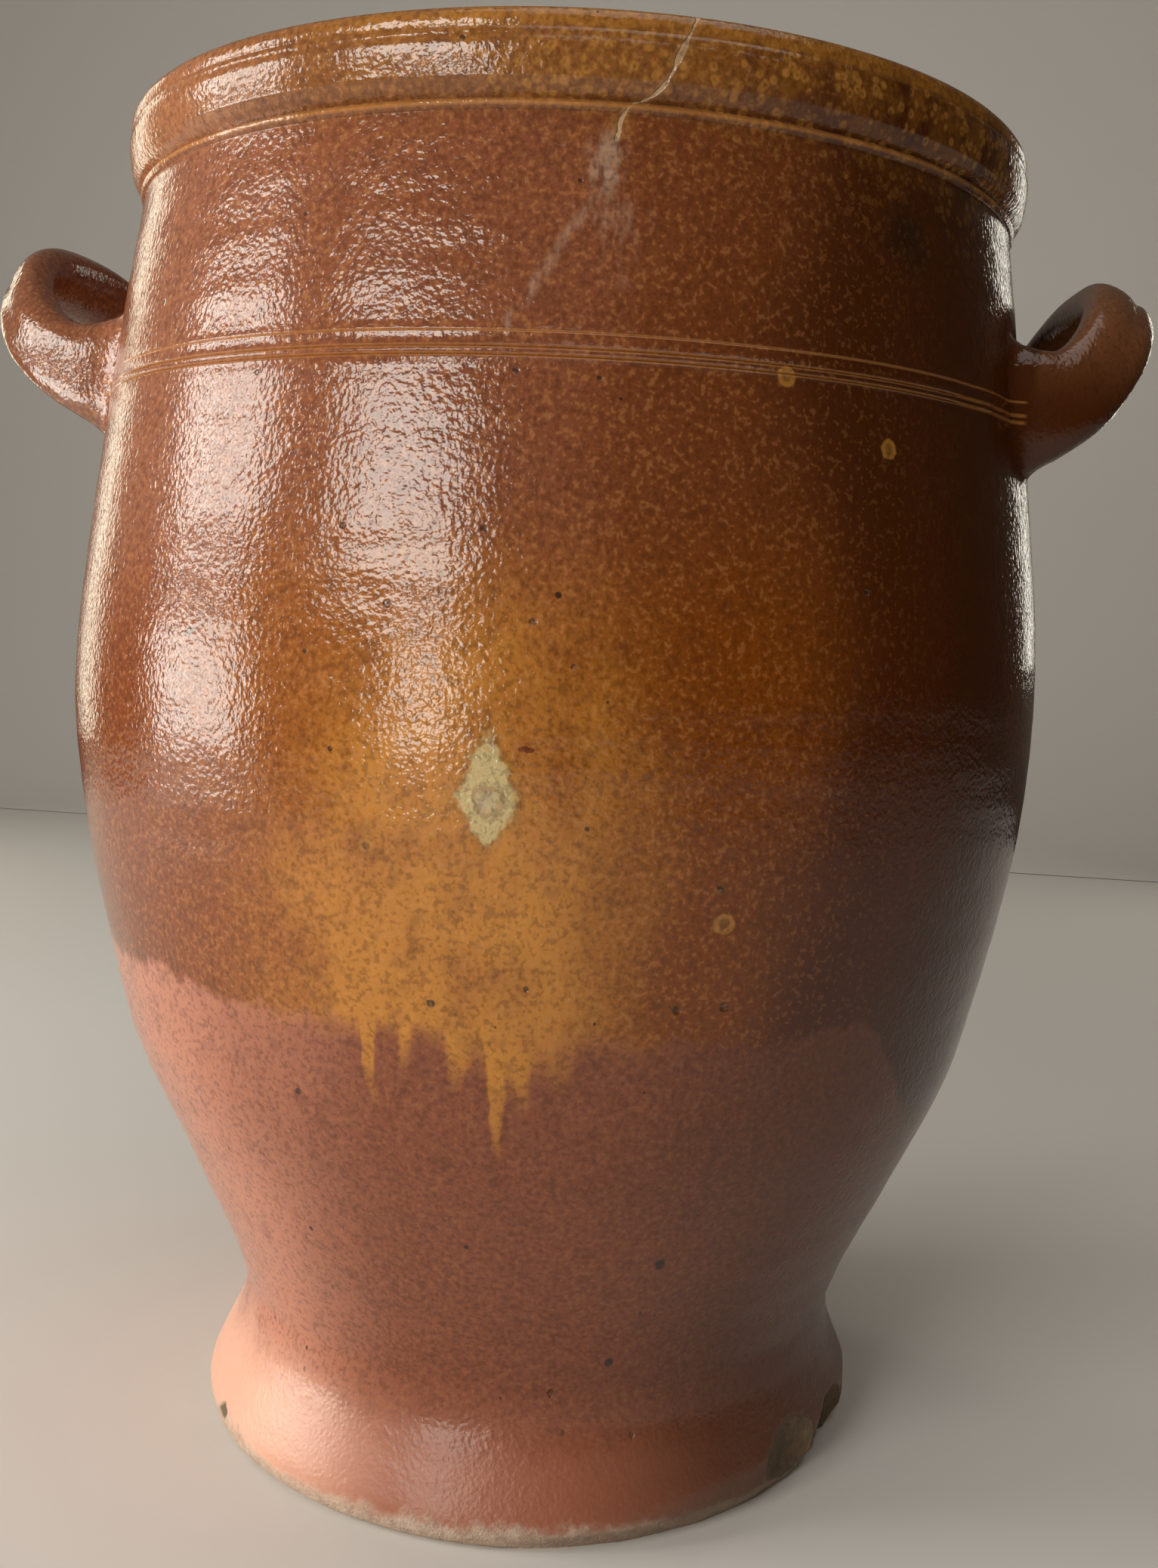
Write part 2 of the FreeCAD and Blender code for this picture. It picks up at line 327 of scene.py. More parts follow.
# %% [markdown]
# The wall gets finer faces where the straps press into it and where the foot is broken.
# Then the three are joined into one skin, as firing made them one piece of stone, and
# the corner between strap and wall is smoothed like clay smeared with a thumb.

# %% Join the straps to the body
def front_angle(point):
    """Degrees round the pot from the front, growing towards the right."""
    return math.degrees(math.atan2(point.x, -point.y))


def root_places():
    """Where the four ends of the straps press into the wall, in metres."""
    places = []
    for handle in (right_handle, left_handle):
        away = Vector((math.cos(handle["turn"]), math.sin(handle["turn"]), 0))
        across = Vector((-away.y, away.x, 0))
        root_out = math.sqrt(wall_radius(handle["root"]) ** 2 - handle_spread ** 2)
        for side in (1, -1):
            spot = away * root_out + across * (side * handle_spread) + Vector((0, 0, handle["root"] - 7))
            places.append(spot * MM)
    return places


roots = root_places()
foot_patches = ((48.0, 100.0, 40.0), (-66.0, -44.0, 24.0), (8.0, 48.0, 14.0))


def subdivide_where(bm, wanted, cuts):
    edges = [e for e in bm.edges if wanted((e.verts[0].co + e.verts[1].co) / 2)]
    bmesh.ops.subdivide_edges(bm, edges=edges, cuts=cuts, use_grid_fill=True)


def near_root(point):
    outside = math.hypot(point.x, point.y) > 0.17
    return outside and any((point - spot).length < 0.052 for spot in roots)


def near_break(point):
    if point.z > 0.042 or math.hypot(point.x, point.y) < 0.125:
        return False
    angle = front_angle(point)
    return any(low < angle < high and point.z < top * MM for low, high, top in foot_patches)


bm = bmesh.new()
bm.from_mesh(body.data)
subdivide_where(bm, near_root, 1)
subdivide_where(bm, near_break, 2)
bm.to_mesh(body.data)
bm.free()
for piece in straps:
    join = body.modifiers.new("join_" + piece.name, "BOOLEAN")
    join.operation = "UNION"
    join.solver = "MANIFOLD"
    join.object = piece
joined = bpy.data.meshes.new_from_object(body.evaluated_get(bpy.context.evaluated_depsgraph_get()))
pot = bpy.data.objects.new("pot_glazed", joined)
bpy.context.scene.collection.objects.link(pot)
for piece in [body] + straps:
    bpy.data.objects.remove(piece)

# %% Smear the clay at the roots
smear_reach = 0.015


def concave(edge):
    """True where two faces meet in an inward corner."""
    if len(edge.link_faces) != 2:
        return False
    a, b = edge.link_faces
    bend = a.normal.angle(b.normal, 0.0)
    return bend > math.radians(22) and a.normal.dot(b.calc_center_median() - a.calc_center_median()) > 0


bm = bmesh.new()
bm.from_mesh(pot.data)
bmesh.ops.dissolve_degenerate(bm, dist=0.00005, edges=bm.edges)
bm.normal_update()
corner_verts = set()
for edge in bm.edges:
    middle = (edge.verts[0].co + edge.verts[1].co) / 2
    if near_root(middle) and concave(edge):
        corner_verts.update(edge.verts)
print("corner points", len(corner_verts))
reach = {v: 0.0 for v in corner_verts}
front = list(corner_verts)
while front:
    found = []
    for v in front:
        for edge in v.link_edges:
            other = edge.other_vert(v)
            far = reach[v] + edge.calc_length()
            if far < smear_reach and far < reach.get(other, 1.0) - 0.00001:
                reach[other] = far
                found.append(other)
    front = found
for share in (1.0, 0.8, 1.0, 0.6, 0.9, 0.45, 0.7, 1.0, 0.5, 0.3, 0.8, 0.6):
    group = [v for v, far in reach.items() if far < smear_reach * share]
    bmesh.ops.smooth_vert(bm, verts=group, factor=0.5, use_axis_x=True, use_axis_y=True, use_axis_z=True)
for v, far in reach.items():
    share = 1 - far / smear_reach
    thumb = noise.noise(v.co * 90) + 0.5 * noise.noise(v.co * 210)
    v.co += v.normal * (0.0007 * thumb * share)
bm.to_mesh(pot.data)
bm.free()
print("pot triangles about", sum(len(face.vertices) - 2 for face in pot.data.polygons))

# %% [markdown]
# The foot has been knocked. Two flakes have come off its right front, and a smaller
# piece off its left. A flake leaves a shallow scoop with a sharp edge, so the points
# inside the scoop are moved in to it and marked, for the bare stone to show there.

# %% Break the foot
wear_angle, wear_set_back, wear_top = 75.0, 10.1, 34.0
wear_base, wear_band, wear_band_start = 153.6, 160.0, 10.0
flakes = (
    # front angle, height, reach from the axis, ball
    (58.5, 17.0, 144.6, 44.0),
    (74.0, 2.0, 139.5, 36.0),
    (-54.0, 14.0, 152.0, 24.0),
)


def sideways(angle):
    """The level direction that points out of the pot at a front angle."""
    turn = math.radians(angle)
    return Vector((math.sin(turn), -math.cos(turn), 0))


worn_axis = sideways(wear_angle) * (-wear_set_back * MM)
bare_marks = [0.0] * len(pot.data.vertices)
for i, v in enumerate(pot.data.vertices):
    z = v.co.z / MM
    if z > 44 or math.hypot(v.co.x, v.co.y) < 0.125:
        continue
    band = wear_base + (wear_band - wear_base) * min(1.0, z / wear_band_start)
    band += 0.7 * noise.noise(v.co * 60) + 3.0 * max(0.0, z - 28) / 6
    level = Vector((v.co.x, v.co.y, 0)) - worn_axis
    if level.length > band * MM:
        inward = level.normalized() * (level.length - band * MM)
        v.co -= inward
        bare_marks[i] = max(bare_marks[i], min(0.45, inward.length / 0.006))
    for angle, high, reach, ball in flakes:
        out = sideways(angle)
        away = v.co - out * ((reach + ball) * MM) - Vector((0, 0, high * MM))
        rough = noise.noise(v.co * 150 + out * 3) + 0.5 * noise.noise(v.co * 420)
        size = (ball + 0.8 * rough) * MM
        along = out.dot(away)
        aside = (away - out * along).length
        if aside < size and along > -math.sqrt(size ** 2 - aside ** 2):
            push = along + math.sqrt(size ** 2 - aside ** 2)
            v.co -= out * push
            bare_marks[i] = max(bare_marks[i], min(1.0, push / 0.0007))
chip_out, chip_top, chip_ball, chip_depth = 237.1, 514.8, 24.0, 0.9
chip_away = Vector((math.cos(handle_set_back), math.sin(handle_set_back), 0))
chip_middle = (chip_away * chip_out + Vector((0, 0, chip_top - chip_depth + chip_ball))) * MM
for v in pot.data.vertices:
    aside = (v.co - chip_middle).xy.length
    if aside < chip_ball * MM and v.co.z > 0.5:
        surface = chip_middle.z - math.sqrt((chip_ball * MM) ** 2 - aside ** 2)
        if v.co.z > surface and v.co.z < chip_middle.z:
            v.co.z = surface + 0.0002 * noise.noise(v.co * 300)

broken = pot.data.attributes.new("broken", "FLOAT", "POINT")
broken.data.foreach_set("value", bare_marks)
print("broken points", sum(1 for mark in bare_marks if mark > 0.5))

for face in pot.data.polygons:
    face.use_smooth = True
pot.data.set_sharp_from_angle(angle=math.radians(50))

# %% [markdown]
# Words for wiring a material. Each returns a socket, so that one step can feed the next.

# %% Short words for node wiring
clay = bpy.data.materials.new("salt_glaze")
clay.use_nodes = True
tree = clay.node_tree
shader = tree.nodes["Principled BSDF"]


def feed(socket, value):
    if isinstance(value, bpy.types.NodeSocket):
        tree.links.new(value, socket)
    elif value is not None:
        socket.default_value = value


def maths(operation, a, b=None, c=None, clamp=False):
    step = tree.nodes.new("ShaderNodeMath")
    step.operation = operation
    step.use_clamp = clamp
    for socket, value in zip(step.inputs, (a, b, c)):
        feed(socket, value)
    return step.outputs[0]


def ease(value, start, end):
    """0 before start, 1 after end, eased between; start may be above end."""
    step = tree.nodes.new("ShaderNodeMapRange")
    step.interpolation_type = "SMOOTHSTEP"
    feed(step.inputs["Value"], value)
    feed(step.inputs["From Min"], start)
    feed(step.inputs["From Max"], end)
    return step.outputs["Result"]


def colour(r, g, b):
    """A paint colour given in the 0-255 scale of a colour card."""
    return tuple(((v / 255 + 0.055) / 1.055) ** 2.4 if v > 10 else v / 255 / 12.92 for v in (r, g, b)) + (1.0,)


def paint(mask, under, over):
    step = tree.nodes.new("ShaderNodeMix")
    step.data_type = "RGBA"
    feed(step.inputs["Factor"], mask)
    feed(step.inputs[6], under)
    feed(step.inputs[7], over)
    return step.outputs[2]


def clouds(size, detail=1.0, rough=0.5, stretch=(1, 1, 1), seed=0.0):
    """Soft noise, 0 to 1, with blots about the given size in metres."""
    place = tree.nodes.new("ShaderNodeMapping")
    feed(place.inputs["Vector"], coordinates.outputs["Object"])
    place.inputs["Scale"].default_value = stretch
    place.inputs["Location"].default_value = (seed, seed * 0.7, seed * 1.3)
    step = tree.nodes.new("ShaderNodeTexNoise")
    feed(step.inputs["Vector"], place.outputs[0])
    step.inputs["Scale"].default_value = 1 / size
    step.inputs["Detail"].default_value = detail
    step.inputs["Roughness"].default_value = rough
    return step.outputs["Fac"]


def curve(value, places):
    """A smooth line drawn through (value, result) places."""
    first, last = places[0][0], places[-1][0]
    low, high = min(y for x, y in places), max(y for x, y in places)
    step = tree.nodes.new("ShaderNodeFloatCurve")
    points = step.mapping.curves[0].points
    while len(points) < len(places):
        points.new(0.5, 0.5)
    for point, (x, y) in zip(points, places):
        point.location = ((x - first) / (last - first), (y - low) / (high - low))
    step.mapping.update()
    share = maths("DIVIDE", maths("SUBTRACT", value, first), last - first, clamp=True)
    feed(step.inputs["Value"], share)
    return maths("MULTIPLY_ADD", step.outputs[0], high - low, low)


def cells(size, seed=0.0):
    place = tree.nodes.new("ShaderNodeMapping")
    feed(place.inputs["Vector"], coordinates.outputs["Object"])
    place.inputs["Location"].default_value = (seed, seed, seed)
    step = tree.nodes.new("ShaderNodeTexVoronoi")
    feed(step.inputs["Vector"], place.outputs[0])
    step.inputs["Scale"].default_value = 1 / size
    return step.outputs["Distance"]


# %% Where a point lies on the pot
coordinates = tree.nodes.new("ShaderNodeTexCoord")
parts = tree.nodes.new("ShaderNodeSeparateXYZ")
feed(parts.inputs[0], coordinates.outputs["Object"])
X, Y = parts.outputs["X"], parts.outputs["Y"]
Z = maths("MULTIPLY", parts.outputs["Z"], 1 / MM)
ANGLE = maths("MULTIPLY", maths("ARCTAN2", X, maths("MULTIPLY", Y, -1.0)), 180 / math.pi)
# FOLDED equals ANGLE on the front half and runs back to 0 behind, so colours meet there.
FOLDED = maths("MULTIPLY", maths("ARCTAN2", X, maths("ABSOLUTE", Y)), 180 / math.pi)
RADIUS = maths("MULTIPLY", maths("SQRT", maths("ADD", maths("MULTIPLY", X, X), maths("MULTIPLY", Y, Y))), 1 / MM)


def shifted(value, amount, size, seed, detail=1.0):
    """A coordinate made wavy by noise, so that painted edges wander."""
    wave = maths("SUBTRACT", clouds(size, detail=detail, seed=seed), 0.5)
    return maths("MULTIPLY_ADD", wave, amount, value)


# %% [markdown]
# The fire did most of the painting. High on the wall the glaze is a rosy brown, and lower down
# an orange brown. Both are painted dark towards the right, partly their own colour and partly
# painted shade on the side turned from the window. A golden flow ran down the front and
# stopped in drips. Under the tide line, where the pot stood shaded in the kiln, the
# glaze is mauve, lighter on the left partly as painted light, and the foot's edge stayed bare.

# %% Lay the broad colours
wavy_angle = shifted(FOLDED, 20.0, 0.10, 3.0)
wavy_z = shifted(Z, 46.0, 0.11, 5.0)
tide = shifted(shifted(Z, 16.0, 0.07, 11.0), 5.0, 0.012, 12.0)
streaks = clouds(0.010, detail=2, rough=0.6, seed=14.0, stretch=(1, 1, 0.10))


def across(left, middle, right, left_end=-42.0, middle_start=-8.0, middle_end=10.0, right_start=42.0):
    """A glaze colour that changes round the pot from left to right; its dark right end is partly painted shade, and a
    light left end partly painted light.
    """
    tone = paint(ease(wavy_angle, left_end, middle_start), colour(*left), colour(*middle))
    return paint(ease(wavy_angle, middle_end, right_start), tone, colour(*right))


# The right-hand colours are partly painted shade, where the side away from the window falls dark; the light left of the
# lower colour is partly painted light.
upper = across((142, 88, 64), (126, 72, 46), (70, 33, 9))
middle = across((126, 64, 30), (142, 82, 34), (76, 33, 6))
lower = across((190, 124, 100), (130, 72, 48), (98, 54, 33))
amber = maths("MULTIPLY", ease(wavy_angle, 6.0, 16.0), ease(wavy_angle, 38.0, 24.0))
middle = paint(amber, middle, colour(122, 62, 12))
upper = paint(maths("MULTIPLY", amber, 0.6), upper, colour(112, 58, 20))
tone = paint(ease(wavy_z, 420.0, 350.0), upper, middle)
on_strap = maths("MULTIPLY", ease(RADIUS, 203.5, 207.0), ease(Z, 419.0, 428.0))
# The right handle is painted darker towards its lower part: painted shade under the loop, near the wall.
right_strap_tone_and_painted_shade = paint(ease(Z, 494.0, 452.0), colour(118, 74, 46), colour(72, 34, 10))
tone = paint(maths("MULTIPLY", on_strap, ease(ANGLE, 0.0, 40.0)), tone, right_strap_tone_and_painted_shade)
tone = paint(maths("MULTIPLY", on_strap, ease(ANGLE, 0.0, -40.0)), tone, colour(122, 74, 50))
dark_band = maths("MULTIPLY", ease(wavy_angle, 46.0, 56.0), ease(wavy_angle, 74.0, 64.0))
tone = paint(maths("MULTIPLY", dark_band, 0.6), tone, colour(62, 28, 8))
runs = maths("MULTIPLY", maths("SUBTRACT", streaks, 0.5), 16.0)
right_run = maths("MULTIPLY", ease(wavy_angle, 47.0, 60.0), ease(wavy_angle, 84.0, 70.0))
tide_here = maths("ADD", maths("ADD", tide, runs), maths("MULTIPLY", right_run, 58.0))
above_tide = ease(tide_here, 220.0, 226.0)
tone = paint(above_tide, lower, tone)

# %% Let the golden flow run
gold_angle = shifted(ANGLE, 13.0, 0.06, 17.0)
gold_left = maths("MULTIPLY_ADD", ease(wavy_z, 370.0, 230.0), -12.0, -5.0)
gold_in = ease(maths("SUBTRACT", gold_angle, gold_left), -12.0, 10.0)
gold_right = ease(gold_angle, 24.0, 5.0)
flow = maths("MULTIPLY", ease(wavy_z, 404.0, 322.0), ease(tide_here, 212.0, 226.0))
drip_angle = shifted(ANGLE, 1.6, 0.015, 19.0)
drip_ends = (
    # front angle, lower end of the gold
    (-20.0, 226.0), (-15.4, 220.0), (-13.4, 210.0), (-11.6, 219.0), (-10.4, 208.0), (-9.4, 185.0),
    (-8.3, 213.0), (-6.6, 213.0), (-5.6, 201.0), (-4.0, 214.0), (-1.6, 211.0), (0.2, 195.0),
    (2.0, 205.0), (3.2, 197.0), (4.3, 168.0), (5.4, 194.0), (6.8, 188.0), (8.6, 202.0),
    (10.6, 197.0), (13.0, 214.0), (16.0, 222.0), (20.0, 226.0))
drip_line = curve(drip_angle, drip_ends)
spill = ease(maths("SUBTRACT", Z, drip_line), 0.0, 20.0)
flow = maths("MAXIMUM", flow, maths("MULTIPLY", spill, ease(Z, 246.0, 222.0)))
gold = maths("MULTIPLY", maths("MULTIPLY", gold_in, gold_right), flow)
uneven = maths("MULTIPLY_ADD", streaks, 0.45, maths("MULTIPLY", clouds(0.035, detail=2, seed=8.0), 0.9))
gold = maths("MULTIPLY", gold, ease(uneven, 0.28, 0.84))
tone = paint(gold, tone, colour(190, 126, 50))

# %% [markdown]
# Small things make it this pot: an ash-speckled rim, a cream blob, iron spots, ringed
# blisters, a crack from the rim with a pale smear below it, and rubbed bare clay.

# %% Ash on the rim
on_rim = ease(Z, 526.0, 531.0)
# The rim is painted lighter on the left and dark on the right: partly its own colour, partly painted light and painted
# shade.
rim_tone = across((156, 100, 66), (128, 80, 44), (70, 32, 8), -50.0, -16.0, 4.0, 46.0)
tone = paint(on_rim, tone, rim_tone)
ash_zone = maths("MULTIPLY", ease(wavy_z, 474.0, 536.0), ease(wavy_angle, -24.0, 14.0))
ash_veil = maths("MULTIPLY", ease(wavy_z, 512.0, 550.0), ease(wavy_angle, -26.0, 2.0))
ash_patch = clouds(0.014, detail=2, rough=0.65, seed=23.0)
tone = paint(maths("MULTIPLY", maths("MULTIPLY", ash_veil, ease(ash_patch, 0.34, 0.62)), 0.55), tone, colour(146, 94, 32))
rim_ash = maths("MULTIPLY", ash_zone, maths("MULTIPLY_ADD", on_rim, 0.6, 0.4))
from_middle = cells(0.0041, seed=22.0)
fleck = maths("MULTIPLY", ease(from_middle, 0.50, 0.26), maths("MULTIPLY_ADD", ease(from_middle, 0.06, 0.24), 0.6, 0.4))
there = ease(maths("ADD", ash_patch, maths("MULTIPLY", ash_zone, 0.14)), 0.50, 0.64)
fleck = maths("MULTIPLY", maths("MULTIPLY", fleck, there), rim_ash)
tone = paint(maths("MULTIPLY", fleck, 0.6), tone, colour(178, 124, 56))
# A golden line along the rim's top edge: partly ash, partly a painted highlight where the top edge catches the light.
rim_top_ash_and_painted_highlight = maths("MULTIPLY", ease(Z, 551.5, 554.0), ease(wavy_angle, -30.0, 0.0))
tone = paint(maths("MULTIPLY", rim_top_ash_and_painted_highlight, 0.5), tone, colour(168, 112, 44))

# %% Spots and blisters


def beside(angle, z):
    """Millimetres to the right of, and above, a place on the wall."""
    along = maths("MULTIPLY", maths("SUBTRACT", ANGLE, angle), wall_radius(z) * math.pi / 180)
    return along, maths("SUBTRACT", Z, z)


fine_rag = maths("SUBTRACT", clouds(0.0027, detail=2, seed=18.0), 0.5)
coarse_rag = maths("SUBTRACT", clouds(0.011, detail=2, seed=19.0), 0.5)


def distance_from(angle, z, wide=1.0, tall=1.0, ragged=0.0, rag=fine_rag):
    """Distance from a place in units of a half-width and half-height."""
    along, above = beside(angle, z)
    along = maths("DIVIDE", along, wide)
    above = maths("DIVIDE", above, tall)
    far = maths("SQRT", maths("ADD", maths("MULTIPLY", along, along), maths("MULTIPLY", above, above)))
    if ragged:
        far = maths("MULTIPLY_ADD", rag, ragged, far)
    return far


mm_per_degree = 3.4
unrolled = tree.nodes.new("ShaderNodeCombineXYZ")
feed(unrolled.inputs["X"], maths("MULTIPLY", ANGLE, mm_per_degree))
feed(unrolled.inputs["Y"], Z)


def nearest(places, ragged):
    """Distance to the nearest of many spots, in units of each spot's size."""
    near = None
    for angle, z, size in places:
        step = tree.nodes.new("ShaderNodeVectorMath")
        step.operation = "DISTANCE"
        feed(step.inputs[0], unrolled.outputs[0])
        step.inputs[1].default_value = (angle * mm_per_degree, z, 0)
        far = maths("DIVIDE", step.outputs["Value"], size)
        near = far if near is None else maths("MINIMUM", near, far)
    return maths("MULTIPLY_ADD", fine_rag, ragged, near)


along, above = beside(2.9, 305.0)
blob_height = maths("MAXIMUM", maths("DIVIDE", above, 24.0), maths("DIVIDE", above, -19.0))
blob = maths("ADD", maths("DIVIDE", maths("ABSOLUTE", along), 11.5), blob_height)
blob = maths("MULTIPLY_ADD", coarse_rag, 0.7, maths("MULTIPLY_ADD", fine_rag, 0.5, blob))
tone = paint(maths("MULTIPLY", ease(blob, 1.35, 1.0), 0.55), tone, colour(150, 106, 46))
tone = paint(maths("MULTIPLY", ease(blob, 1.06, 0.84), 0.94), tone, colour(194, 174, 124))
heart = distance_from(2.9, 304.0, 5.6, 5.6, ragged=1.2)
heart_ring = maths("MULTIPLY", ease(heart, 1.15, 0.95), ease(heart, 0.5, 0.8))
tone = paint(maths("MULTIPLY", ease(heart, 0.9, 0.3), 0.6), tone, colour(178, 160, 134))
tone = paint(maths("MULTIPLY", heart_ring, 0.5), tone, colour(128, 98, 72))

blisters = nearest(((30.1, 448.0, 3.4), (42.4, 427.8, 3.6), (25.8, 263.5, 3.8), (-8.5, 286.0, 2.5)), 0.5)
tone = paint(maths("MULTIPLY", ease(blisters, 1.1, 0.85), 0.8), tone, colour(170, 118, 50))
tone = paint(maths("MULTIPLY", ease(blisters, 0.62, 0.42), 0.7), tone, colour(110, 68, 28))
red_mark = distance_from(6.2, 321.5, 3.4, 1.6, ragged=1.8)
tone = paint(maths("MULTIPLY", ease(red_mark, 0.9, 0.6), 0.85), tone, colour(92, 26, 16))
smudge = distance_from(46.6, 502.7, 15.0, 17.0, ragged=0.6, rag=coarse_rag)
tone = paint(maths("MULTIPLY", ease(smudge, 1.1, 0.0), 0.8), tone, colour(34, 22, 12))

iron_places = (
    (25.6, 123.8, 2.9), (21.3, 74.5, 2.6), (24.6, 99.0, 1.1), (0.0, 130.5, 1.1), (-23.6, 124.6, 1.4),
    (-34.5, 56.3, 1.2), (-34.4, 47.2, 1.3), (-14.6, 35.7, 1.0), (-18.6, 28.0, 1.2), (-25.3, 14.9, 1.0),
    (-29.5, 354.7, 2.0), (-18.9, 189.4, 1.6), (-2.5, 231.5, 1.7), (14.5, 44.0, 1.4), (8.5, 372.0, 1.2),
    (-12.0, 318.0, 1.0), (25.0, 276.0, 1.5), (12.0, 296.0, 0.9), (-26.0, 401.0, 1.0))
iron = ease(nearest(iron_places, 0.9), 1.1, 0.6)
scatter = cells(0.021, seed=2.0)
stray = ease(scatter, 0.036, 0.020)
iron = maths("MAXIMUM", iron, stray)
tone = paint(maths("MULTIPLY", iron, 0.9), tone, colour(40, 30, 26))

pit_places = (
    (-42.1, 474.3, 1.4), (3.7, 443.7, 1.3), (11.6, 442.5, 0.9), (1.6, 392.3, 1.3),
    (6.4, 363.1, 1.4), (10.2, 349.1, 1.1), (12.4, 59.8, 2.0), (26.1, 41.8, 1.6),
    (-12.0, 392.0, 1.2), (-7.0, 367.0, 1.5), (22.0, 232.0, 1.8), (27.0, 233.0, 2.0),
    (-20.0, 497.0, 0.9), (-3.0, 549.0, 1.2), (-24.0, 444.0, 1.0), (9.0, 506.0, 0.9),
    (-15.0, 350.0, 1.0), (7.0, 239.0, 1.2), (39.0, 378.0, 1.2))
pits = ease(nearest(pit_places, 0.5), 1.1, 0.5)
tone = paint(maths("MULTIPLY", pits, 0.75), tone, colour(46, 26, 18))

# %% The crack and its smear


def distance_to_line(start, end):
    """Millimetres to a straight stroke between two places on the wall."""
    along, above = beside(*start)
    reach_x = (end[0] - start[0]) * wall_radius(start[1]) * math.pi / 180
    reach_z = end[1] - start[1]
    length = reach_x ** 2 + reach_z ** 2
    share = maths("ADD", maths("MULTIPLY", along, reach_x / length), maths("MULTIPLY", above, reach_z / length), clamp=True)
    off_x = maths("SUBTRACT", along, maths("MULTIPLY", share, reach_x))
    off_z = maths("SUBTRACT", above, maths("MULTIPLY", share, reach_z))
    return maths("SQRT", maths("ADD", maths("MULTIPLY", off_x, off_x), maths("MULTIPLY", off_z, off_z)))


crack_path = ((515.0, 12.0), (519.0, 12.3), (529.6, 13.3), (536.0, 16.5), (547.0, 18.2), (560.0, 20.0))
crack = maths("ABSOLUTE", maths("SUBTRACT", ANGLE, curve(Z, crack_path)))
crack = maths("MULTIPLY", crack, mm_per_degree * 0.75)
crack = maths("MULTIPLY_ADD", ease(Z, 520.0, 516.0), 9.0, crack)
crack = maths("MULTIPLY_ADD", fine_rag, 1.2, maths("MULTIPLY_ADD", coarse_rag, 3.0, crack))
crack_mark = ease(crack, 0.75, 0.35)
tone = paint(maths("MULTIPLY", ease(crack, 2.2, 0.5), 0.35), tone, colour(176, 132, 88))
tone = paint(maths("MULTIPLY", crack_mark, 0.8), tone, colour(196, 164, 128))

wisp = clouds(0.0045, detail=2, rough=0.75, seed=36.0, stretch=(1, 1, 0.25))
knot = ease(distance_from(11.6, 511.0, 9.0, 13.0, ragged=1.2, rag=coarse_rag), 1.15, 0.2)
fan = ease(distance_from(11.5, 492.0, 15.0, 20.0, ragged=1.2, rag=coarse_rag), 1.2, 0.2)
tail = ease(distance_to_line((11.6, 508.0), (2.5, 458.0)), 3.4, 0.3)
smear = maths("MULTIPLY", knot, ease(wisp, 0.36, 0.62))
smear = maths("MAXIMUM", smear, maths("MULTIPLY", maths("MULTIPLY", fan, ease(wisp, 0.44, 0.74)), 0.55))
smear = maths("MAXIMUM", smear, maths("MULTIPLY", maths("MULTIPLY", tail, ease(wisp, 0.34, 0.66)), 0.6))
tone = paint(maths("MULTIPLY", smear, 0.46), tone, colour(200, 172, 148))

# %% Grain, painted highlights on the scored lines, and bare foot
fine_mottle = clouds(0.0023, rough=0.7, seed=41.0)
wide_mottle = clouds(0.0085, detail=2, rough=0.7, seed=42.0)
tone = paint(maths("MULTIPLY", ease(fine_mottle, 0.50, 0.66), 0.36), tone, colour(70, 34, 16))
bright_grain = maths("MULTIPLY", maths("MULTIPLY_ADD", above_tide, 0.14, 0.14), ease(FOLDED, 60.0, 15.0))
tone = paint(maths("MULTIPLY", ease(fine_mottle, 0.46, 0.32), bright_grain), tone, colour(190, 130, 76))
tone = paint(maths("MULTIPLY", ease(wide_mottle, 0.50, 0.72), 0.30), tone, colour(82, 42, 24))
# Light golden lines along the scored lines and the neck ledge: painted highlights where their raised edges catch the
# light.
for z, thick in ((groove_height - 2.7, 1.0), (groove_height, 1.0), (groove_height + 5.2, 0.7), (neck_height - 1.2, 1.5)):
    stroke = ease(maths("ABSOLUTE", maths("SUBTRACT", Z, z)), thick, thick * 0.3)
    stroke = maths("MULTIPLY", stroke, ease(RADIUS, 204.0, 201.5))
    tone = paint(maths("MULTIPLY", stroke, 0.42), tone, colour(196, 132, 66))

foot_line = shifted(shifted(Z, 16.0, 0.03, 31.0), 7.0, 0.004, 32.0, detail=2)
# The foot band is its own blush. It is painted much lighter on the left as painted light, where the window reaches the
# floor, and darker on the right as painted shade.
foot_blush_and_painted_light = maths("MULTIPLY", ease(foot_line, 60.0, 26.0), 0.8)
tone = paint(foot_blush_and_painted_light, tone, across((240, 184, 158), (164, 100, 76), (106, 66, 48)))
bare_clay = paint(clouds(0.005, detail=2, rough=0.7, seed=34.0), colour(140, 112, 92), colour(222, 204, 184))
bare = ease(foot_line, 13.0, 6.0)
tone = paint(maths("MULTIPLY", bare, 0.85), tone, bare_clay)

break_mark = tree.nodes.new("ShaderNodeAttribute")
break_mark.attribute_name = "broken"
worn = ease(break_mark.outputs["Fac"], 0.05, 0.40)
is_broken = ease(break_mark.outputs["Fac"], 0.5, 0.75)
tone = paint(maths("MULTIPLY", worn, 0.5), tone, colour(112, 88, 70))
stone = paint(clouds(0.004, detail=2, rough=0.7, seed=51.0), colour(84, 70, 52), colour(134, 112, 88))
tone = paint(is_broken, tone, stone)
chip_x, chip_y = (chip_away * chip_out).xy
from_chip_x = maths("SUBTRACT", maths("MULTIPLY", X, 1 / MM), chip_x)
from_chip_y = maths("SUBTRACT", maths("MULTIPLY", Y, 1 / MM), chip_y)
from_chip = maths("SQRT", maths("ADD", maths("MULTIPLY", from_chip_x, from_chip_x),
                                maths("MULTIPLY", from_chip_y, from_chip_y)))
from_chip = maths("MULTIPLY_ADD", coarse_rag, 8.0, from_chip)
